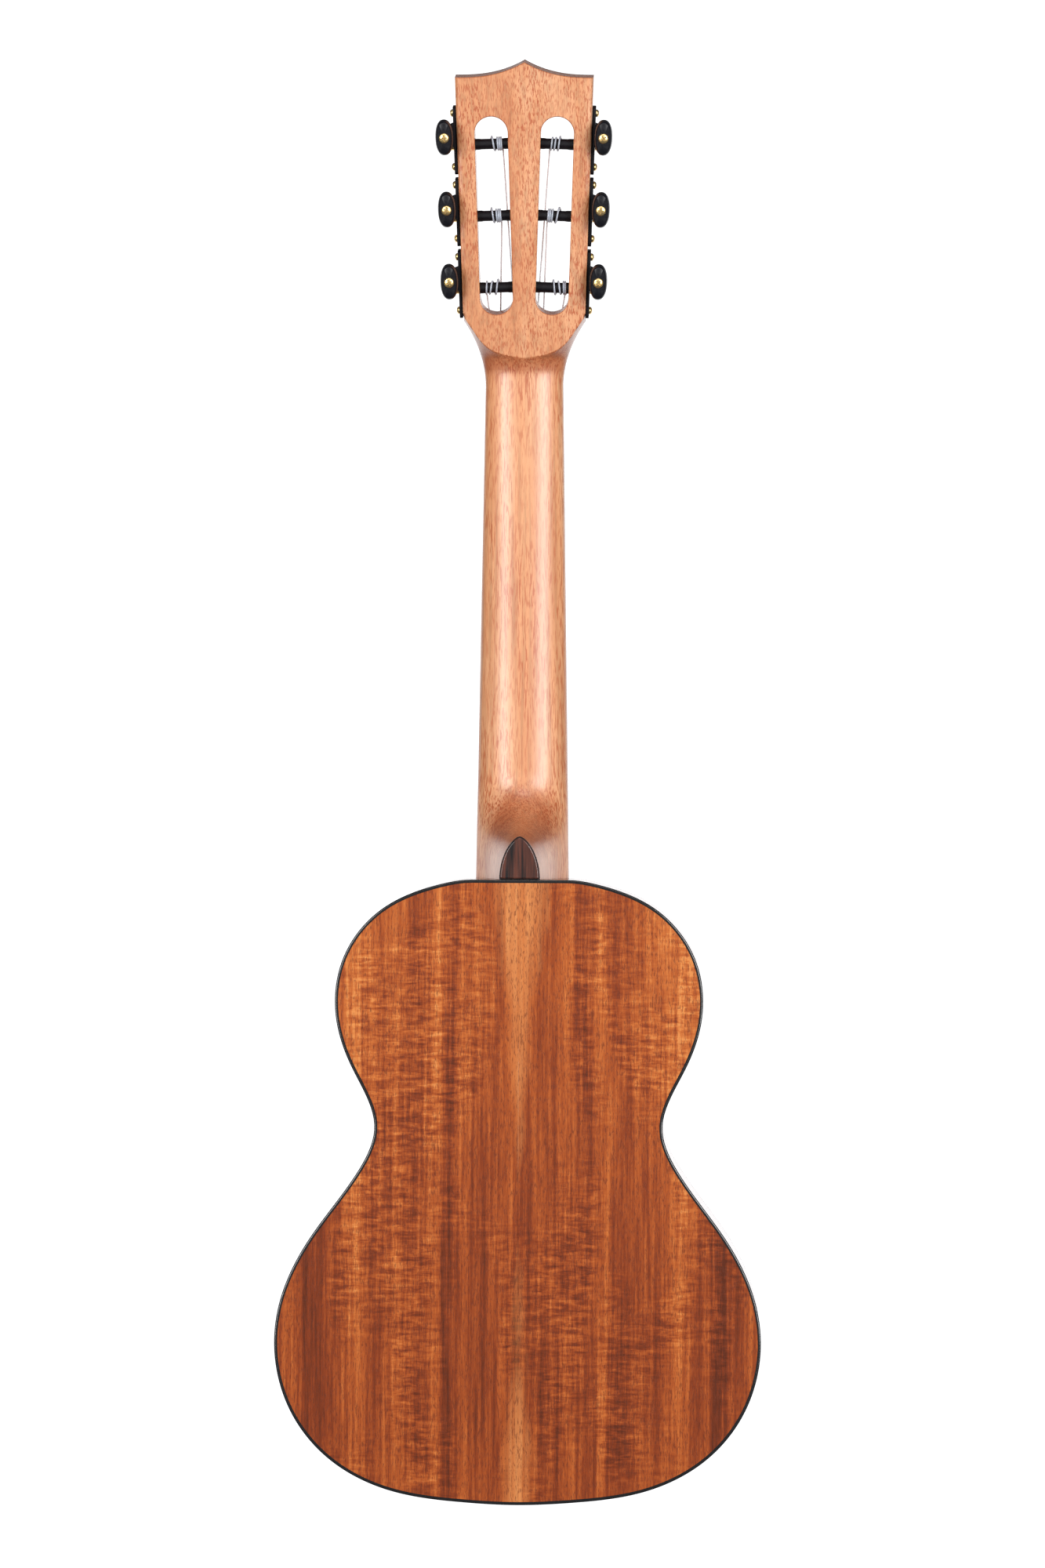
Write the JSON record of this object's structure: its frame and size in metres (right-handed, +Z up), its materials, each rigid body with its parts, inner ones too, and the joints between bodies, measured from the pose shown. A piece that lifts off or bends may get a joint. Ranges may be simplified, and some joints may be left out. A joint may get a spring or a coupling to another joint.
{
  "type": "ukulele",
  "caption": "Tenor ukulele with a slotted head, open-geared side tuners, a waisted body with bound edges and a pointed heel cap.",
  "frame": {"origin": "on the centre line, in the plane between neck and fingerboard, at the fingerboard end of the nut, where a hanger holds the neck under the head", "axes": "+Z up the neck to the head, +Y out of the soundboard, +X to the right of someone who looks at the back"},
  "size_m": [0.2222, 0.0832, 0.6665],
  "materials": {
    "koa": "gloss lacquer",
    "mahogany": "satin lacquer",
    "spruce": "bare",
    "binding": "gloss",
    "rosewood": "oiled",
    "bone": "polished",
    "string": "smooth nylon",
    "black_metal": "satin black",
    "brass": "polished",
    "button": "gloss"
  },
  "bodies": {
    "ukulele": {"back_left": "koa", "back_right": "koa", "back_binding": "binding", "side_left": "koa", "side_right": "koa", "soundboard": "koa", "top_binding": "binding", "neck_block": "mahogany", "tail_block": "mahogany", "back_lining_left": "mahogany", "back_lining_right": "mahogany", "top_lining_left": "mahogany", "top_lining_right": "mahogany", "back_brace_upper": "spruce", "back_brace_lower": "spruce", "top_bracing": "spruce", "bridge_plate": "spruce", "neck": "mahogany", "heel_cap": "rosewood", "headplate": "rosewood", "fingerboard": "rosewood", "nut": "bone", "bridge": "rosewood", "saddle": "bone", "string_a1": "string", "string_a2": "string", "string_e": "string", "string_c1": "string", "string_c2": "string", "string_g": "string", "plate_left_1": "black_metal", "plate_left_2": "black_metal", "plate_left_3": "black_metal", "plate_right_1": "black_metal", "plate_right_2": "black_metal", "plate_right_3": "black_metal"},
    "knob_left_1": {"worm_left_1": "brass", "button_left_1": "button"},
    "roller_left_1": {"post_left_1": "black_metal", "gear_left_1": "brass"},
    "knob_left_2": {"worm_left_2": "brass", "button_left_2": "button"},
    "roller_left_2": {"post_left_2": "black_metal", "gear_left_2": "brass"},
    "knob_left_3": {"worm_left_3": "brass", "button_left_3": "button"},
    "roller_left_3": {"post_left_3": "black_metal", "gear_left_3": "brass"},
    "knob_right_1": {"worm_right_1": "brass", "button_right_1": "button"},
    "roller_right_1": {"post_right_1": "black_metal", "gear_right_1": "brass"},
    "knob_right_2": {"worm_right_2": "brass", "button_right_2": "button"},
    "roller_right_2": {"post_right_2": "black_metal", "gear_right_2": "brass"},
    "knob_right_3": {"worm_right_3": "brass", "button_right_3": "button"},
    "roller_right_3": {"post_right_3": "black_metal", "gear_right_3": "brass"}
  },
  "joints": [
    {"name": "turn_knob_left_1", "type": "hinge", "parent": "ukulele", "child": "knob_left_1", "pos_m": [-0.0368, -0.02447, 0.09587], "axis": [0, -0.9833, -0.1822], "continuous": true},
    {"name": "turn_roller_left_1", "type": "hinge", "parent": "ukulele", "child": "roller_left_1", "pos_m": [-0.03104, -0.02359, 0.09114], "axis": [0.9994, -0.006, 0.0326], "continuous": true},
    {"name": "turn_knob_left_2", "type": "hinge", "parent": "ukulele", "child": "knob_left_2", "pos_m": [-0.03569, -0.01838, 0.06303], "axis": [0, -0.9833, -0.1822], "continuous": true},
    {"name": "turn_roller_left_2", "type": "hinge", "parent": "ukulele", "child": "roller_left_2", "pos_m": [-0.02993, -0.01751, 0.0583], "axis": [0.9994, -0.006, 0.0326], "continuous": true},
    {"name": "turn_knob_left_3", "type": "hinge", "parent": "ukulele", "child": "knob_left_3", "pos_m": [-0.03458, -0.01228, 0.03009], "axis": [0, -0.9833, -0.1822], "continuous": true},
    {"name": "turn_roller_left_3", "type": "hinge", "parent": "ukulele", "child": "roller_left_3", "pos_m": [-0.02882, -0.0114, 0.02536], "axis": [0.9994, -0.006, 0.0326], "continuous": true},
    {"name": "turn_knob_right_1", "type": "hinge", "parent": "ukulele", "child": "knob_right_1", "pos_m": [0.0368, -0.02447, 0.09587], "axis": [0, -0.9833, -0.1822], "continuous": true},
    {"name": "turn_roller_right_1", "type": "hinge", "parent": "ukulele", "child": "roller_right_1", "pos_m": [0.03104, -0.02359, 0.09114], "axis": [0.9994, 0.006, -0.0326], "continuous": true},
    {"name": "turn_knob_right_2", "type": "hinge", "parent": "ukulele", "child": "knob_right_2", "pos_m": [0.03569, -0.01838, 0.06303], "axis": [0, -0.9833, -0.1822], "continuous": true},
    {"name": "turn_roller_right_2", "type": "hinge", "parent": "ukulele", "child": "roller_right_2", "pos_m": [0.02993, -0.01751, 0.0583], "axis": [0.9994, 0.006, -0.0326], "continuous": true},
    {"name": "turn_knob_right_3", "type": "hinge", "parent": "ukulele", "child": "knob_right_3", "pos_m": [0.03458, -0.01228, 0.03009], "axis": [0, -0.9833, -0.1822], "continuous": true},
    {"name": "turn_roller_right_3", "type": "hinge", "parent": "ukulele", "child": "roller_right_3", "pos_m": [0.02882, -0.0114, 0.02536], "axis": [0.9994, 0.006, -0.0326], "continuous": true}
  ],
  "couplings": [
    {"joint": "turn_roller_left_1", "follows": "turn_knob_left_1", "ratio": -0.071429},
    {"joint": "turn_roller_left_2", "follows": "turn_knob_left_2", "ratio": -0.071429},
    {"joint": "turn_roller_left_3", "follows": "turn_knob_left_3", "ratio": -0.071429},
    {"joint": "turn_roller_right_1", "follows": "turn_knob_right_1", "ratio": -0.071429},
    {"joint": "turn_roller_right_2", "follows": "turn_knob_right_2", "ratio": -0.071429},
    {"joint": "turn_roller_right_3", "follows": "turn_knob_right_3", "ratio": -0.071429}
  ]
}
